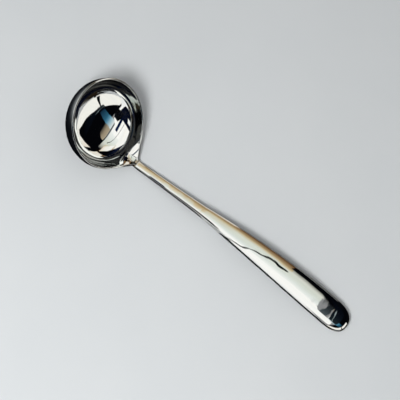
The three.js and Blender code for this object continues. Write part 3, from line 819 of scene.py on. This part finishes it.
# Far wall: white past the handle's end, brown in the middle, and black elsewhere.
panel("card_far_white", 1.3, 0.3, [
    ((0.5, 1.15, 0.0), (0.5, 1.15, 0.55), "#f1e6d6"),
    ((0.75, 1.15, 0.0), (0.75, 1.15, 0.36), "#f6f1e6"),
    ((0.98, 1.15, 0.0), (0.98, 1.15, 0.18), "#f3f0e8"),
    ((1.2, 1.15, 0.0), (1.2, 1.15, 0.18), "#f3f0e8")])
panel("card_far_brown", 1.0, 0.2, [
    ((-0.6, 1.16, 0.0), (0.2, 1.16, 0.0), "#4a3a2a"),
    ((-0.6, 1.16, 0.4), (0.2, 1.16, 0.4), "#6a4c32"),
    ((-0.6, 1.16, 0.7), (0.22, 1.16, 0.7), "#937352"),
    ((-0.6, 1.16, 1.1), (0.22, 1.16, 1.1), "#b3946e")])
panel("card_far_dark", 1.0, 1.0, [
    ((-2.0, 1.17, 0.0), (-0.6, 1.17, 0.0), "#05060a"),
    ((-2.0, 1.17, 1.1), (-0.6, 1.17, 1.1), "#070c1c")])
panel("card_far_corner", 1.0, 1.0, [
    ((0.2, 1.17, 0.0), (1.3, 1.17, 0.0), "#05060a"),
    ((0.2, 1.17, 1.1), (1.3, 1.17, 1.1), "#05060a")])

# Over the near side of bowl and neck: dark flags, with a pale gap in them.
panel("card_flag", 1.0, 1.0, level(BOWL_FLAG, [
    ((-0.07, 0.003), (-0.058, 0.003), "#1a2c55"),
    ((-0.072, -0.05), (-0.058, -0.05), "#0c1530"),
    ((-0.17, -0.05), (-0.03, -0.05), "#0a1126"),
    ((-0.3, -0.3), (-0.015, -0.3), "#05060a")]))
panel("card_neck_flag", 1.0, 1.0, level(BOWL_FLAG, [
    ((-0.05, -0.022), (-0.02, -0.022), "#101318"),
    ((-0.062, -0.05), (-0.01, -0.05), "#05060a"),
    ((-0.062, -0.09), (-0.012, -0.09), "#05060a")]))
panel("card_gap", 1.4, 0.2, level(BOWL_FLAG - 0.001, [
    ((-0.156, -0.106), (-0.108, -0.1), "#fbfaf6"),
    ((-0.15, -0.077), (-0.114, -0.071), "#fbfaf6")]))

# Near side: a pale board, and a dark post that runs over the table and up the board.
panel("card_near_pale", 1.45, 0.05, [
    ((-0.3, -0.57, 0.0), (0.22, -0.57, 0.0), "#e4e5e4"),
    ((-0.3, -0.57, 0.34), (0.22, -0.57, 0.34), "#fbfaf6")])
panel("card_near_post", 1.0, 0.1, [
    ((0.0, -0.012, 0.0006), (0.004, -0.012, 0.0006), "#101214"),
    ((0.005, -0.023, 0.0006), (0.01, -0.023, 0.0006), "#101214"),
    ((0.004, -0.09, 0.0006), (0.011, -0.09, 0.0006), "#101214"),
    ((-0.07, -0.565, 0.0006), (-0.05, -0.565, 0.0006), "#141618"),
    ((-0.085, -0.565, 0.32), (-0.07, -0.565, 0.32), "#26282a")])

# Painted shade in the reflections: sheets at the table round the bowl, dark under it, fading out in a square
# to the table's own grey.
BOWL_X = -0.09
fade_reach = (0.0, 0.05, 0.08, 0.11, 0.15, 0.23, 0.4)
# painted shade colours, from black under the bowl out to the table's grey
painted_shade_colours = ("#0a0c10", "#0e1014", "#202226", "#4c4f52", "#8e9193", "#b8bbbc", "#d0d3d4")
near_ends = (0.0, -0.03, -0.04, -0.04, -0.03, 0.0, 0.0)
far_ends = (0.0, -0.06, -0.07, -0.07, -0.07, -0.05, 0.0)
panel("painted_shade_under_bowl", 1.0, 1.0, level(TABLE, [
    ((BOWL_X - reach, -reach), (end, -reach), colour)
    for reach, end, colour in zip(fade_reach, near_ends, painted_shade_colours)]))
panel("painted_shade_past_bowl", 1.0, 1.0, level(TABLE, [
    ((BOWL_X - reach, reach), (BOWL_X - reach, -reach), colour)
    for reach, colour in zip(fade_reach, painted_shade_colours)]))
panel("painted_shade_behind_bowl", 1.0, 1.0, level(TABLE, [
    ((BOWL_X - reach, reach), (end, reach), colour)
    for reach, end, colour in zip(fade_reach, far_ends, painted_shade_colours)]))

# Table on the near side of stem and handle: dark.
panel("card_near_floor", 1.0, 1.0, level(TABLE, [
    ((0.012, -0.008), (0.012, -0.05), "#303234"),
    ((0.06, -0.012), (0.06, -0.05), "#303234"),
    ((0.13, -0.012), (0.13, -0.06), "#1a1c1e"),
    ((0.25, 0.0), (0.25, -0.3), "#05060a")]))

# Ceiling past the bowl: dark, and a little blue towards the ladle.
panel("card_left_dark", 1.0, 1.0, level(CEILING + 0.002, [
    ((-2.4, -0.4), (-2.4, 1.17), "#05060a"),
    ((-0.35, 0.3), (-0.35, 1.17), "#0c1838")]))

# Table on the far side of stem and handle: brown, fading to grey.
panel("card_far_edge", 1.0, 1.0, level(TABLE, [
    ((-0.05, 0.008), (0.24, -0.02), "#2a2218"),
    ((-0.05, 0.03), (0.22, 0.06), "#241f18"),
    ((-0.04, 0.05), (0.2, 0.09), "#9a9892")]))


# Camera
# It looks steeply down at the ladle from a metre away, turned so that the handle runs to the lower right. Its
# angles, its aim on the table and its focal length were fitted to the outline of bowl, stem and handle.
AZIMUTH, ELEVATION, ROLL = np.radians([2.063, 65.437, 35.95])
AIM = np.array([-0.01201, 0.00916, 0])
DISTANCE = 1.0
SENSOR = 36
FOCAL_PIXELS = 1436.6
PICTURE_PIXELS = 400
level_back = np.array([np.sin(AZIMUTH), -np.cos(AZIMUTH), 0])
back = level_back * np.cos(ELEVATION) + np.array([0, 0, np.sin(ELEVATION)])
level_right = np.array([np.cos(AZIMUTH), np.sin(AZIMUTH), 0])
upright = np.cross(back, level_right)
right = level_right * np.cos(ROLL) + upright * np.sin(ROLL)
top = upright * np.cos(ROLL) - level_right * np.sin(ROLL)
eye = AIM + DISTANCE * back
camera_data = bpy.data.cameras.new("camera")
camera_data.sensor_width = SENSOR
camera_data.lens = SENSOR * FOCAL_PIXELS / PICTURE_PIXELS
camera = bpy.data.objects.new("camera", camera_data)
turned = Matrix((right, top, back)).transposed().to_4x4()
camera.matrix_world = Matrix.Translation(Vector(eye)) @ turned
bpy.context.scene.collection.objects.link(camera)
bpy.context.scene.camera = camera
